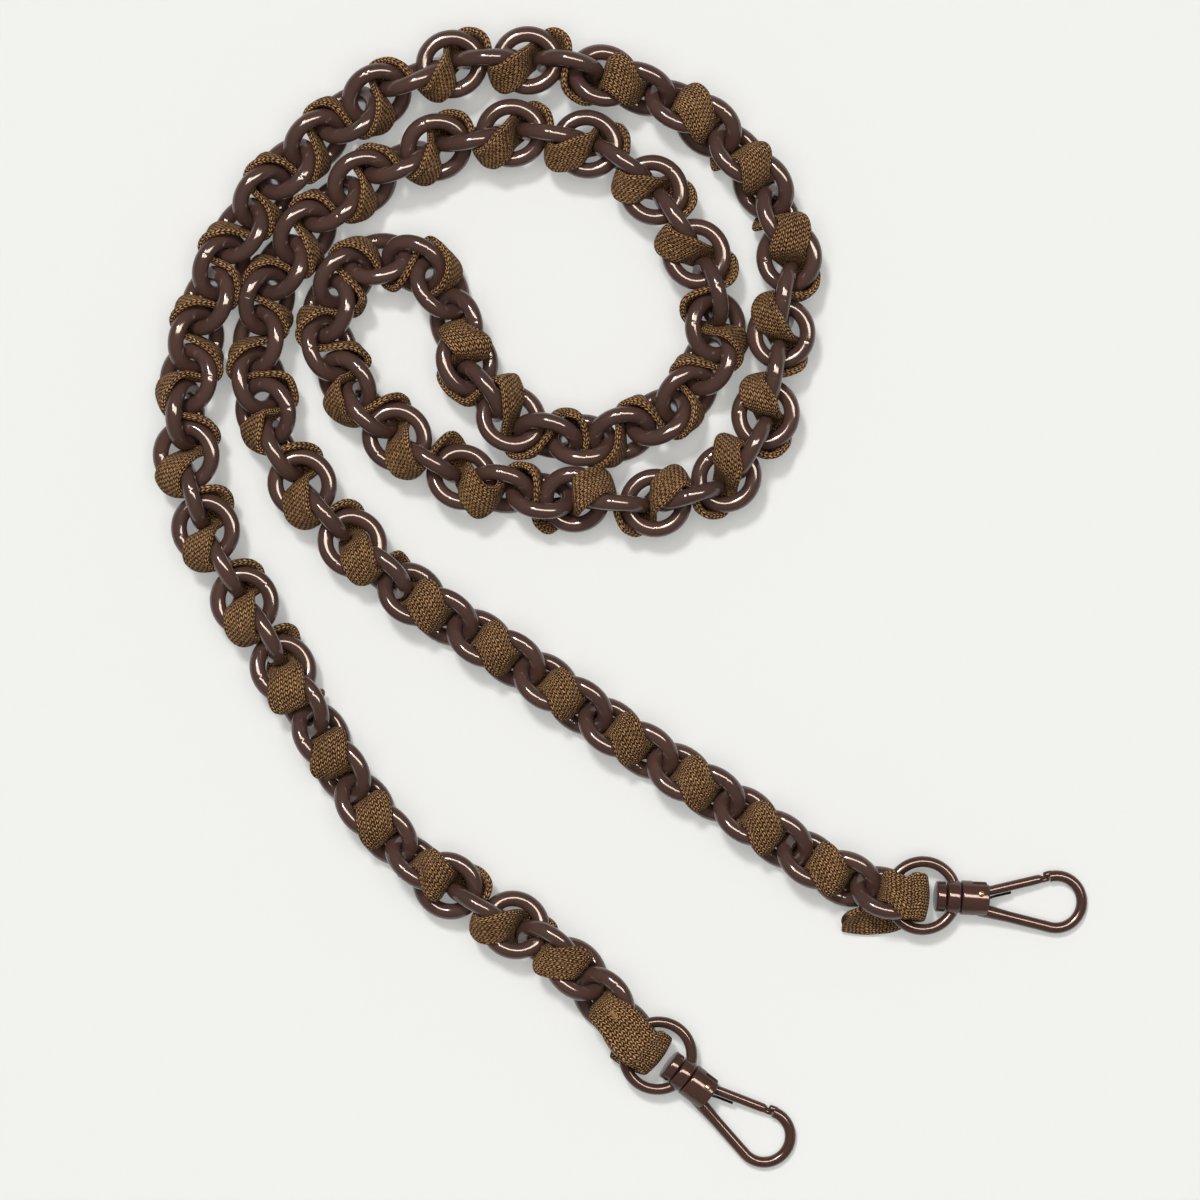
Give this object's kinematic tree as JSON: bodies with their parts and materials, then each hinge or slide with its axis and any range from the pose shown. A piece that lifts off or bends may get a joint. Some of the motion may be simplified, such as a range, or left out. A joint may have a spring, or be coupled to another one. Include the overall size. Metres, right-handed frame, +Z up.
{
  "type": "detachable bag strap",
  "caption": "Bag strap of thick round resin links with a knitted ribbon woven through every link and a swivel snap hook on each end.",
  "frame": {"origin": "on the floor, below the middle of the strap as it lies in the picture", "axes": "+Z up from the floor, +Y towards the top of the picture, which is the longest side, +X towards its right"},
  "size_m": [0.243, 0.2968, 0.0186],
  "materials": {
    "links": "polished dark brown cast resin",
    "ribbon": "golden brown plain knit",
    "hooks": "dark brown gloss enamel on cast zinc",
    "springs": "blackened spring wire"
  },
  "bodies": {
    "strap": {"links_01": "links", "links_02": "links", "links_03": "links", "links_04": "links", "links_05": "links", "links_06": "links", "links_07": "links", "links_08": "links", "links_09": "links", "links_10": "links", "links_11": "links", "links_12": "links", "links_13": "links", "links_14": "links", "links_15": "links", "links_16": "links", "links_17": "links", "links_18": "links", "links_19": "links", "links_20": "links", "links_21": "links", "links_22": "links", "links_23": "links", "links_24": "links", "links_25": "links", "links_26": "links", "links_27": "links", "links_28": "links", "links_29": "links", "links_30": "links", "links_31": "links", "links_32": "links", "links_33": "links", "links_34": "links", "links_35": "links", "links_36": "links", "links_37": "links", "links_38": "links", "links_39": "links", "ribbon": "ribbon"},
    "ring_a": {"swivel_ring_a": "hooks"},
    "hook_a": {"hook_body_a": "hooks", "swivel_post_a": "hooks", "gate_pin_a": "hooks"},
    "gate_a": {"gate_a": "hooks", "gate_spring_a": "springs"},
    "ring_b": {"swivel_ring_b": "hooks"},
    "hook_b": {"hook_body_b": "hooks", "swivel_post_b": "hooks", "gate_pin_b": "hooks"},
    "gate_b": {"gate_b": "hooks", "gate_spring_b": "springs"}
  },
  "joints": [
    {"name": "ring_swing_a", "type": "hinge", "parent": "strap", "child": "ring_a", "pos_m": [0.0696, -0.07681, 0.00742], "axis": [-0.0523, -0.9986, 0], "range_deg": [-28, 30]},
    {"name": "hook_swivel_a", "type": "hinge", "parent": "ring_a", "child": "hook_a", "pos_m": [0.08788, -0.07777, 0.00535], "axis": [0.9923, -0.052, -0.1125], "continuous": true},
    {"name": "gate_opens_a", "type": "hinge", "parent": "hook_a", "child": "gate_a", "pos_m": [0.09306, -0.07674, 0.00477], "axis": [-0.1124, 0.0059, -0.9936], "range_deg": [0, 24], "stiffness_Nm_per_rad": 0.012, "springref_deg": -14.32},
    {"name": "ring_swing_b", "type": "hinge", "parent": "strap", "child": "ring_b", "pos_m": [0.00255, -0.11356, 0.00742], "axis": [-0.6088, -0.7934, 0], "range_deg": [-10, 25]},
    {"name": "hook_swivel_b", "type": "hinge", "parent": "ring_b", "child": "hook_b", "pos_m": [0.01707, -0.12471, 0.00535], "axis": [0.7883, -0.6049, -0.1125], "continuous": true},
    {"name": "gate_opens_b", "type": "hinge", "parent": "hook_b", "child": "gate_b", "pos_m": [0.02192, -0.12679, 0.00477], "axis": [-0.0893, 0.0685, -0.9936], "range_deg": [0, 24], "stiffness_Nm_per_rad": 0.012, "springref_deg": -14.32}
  ]
}
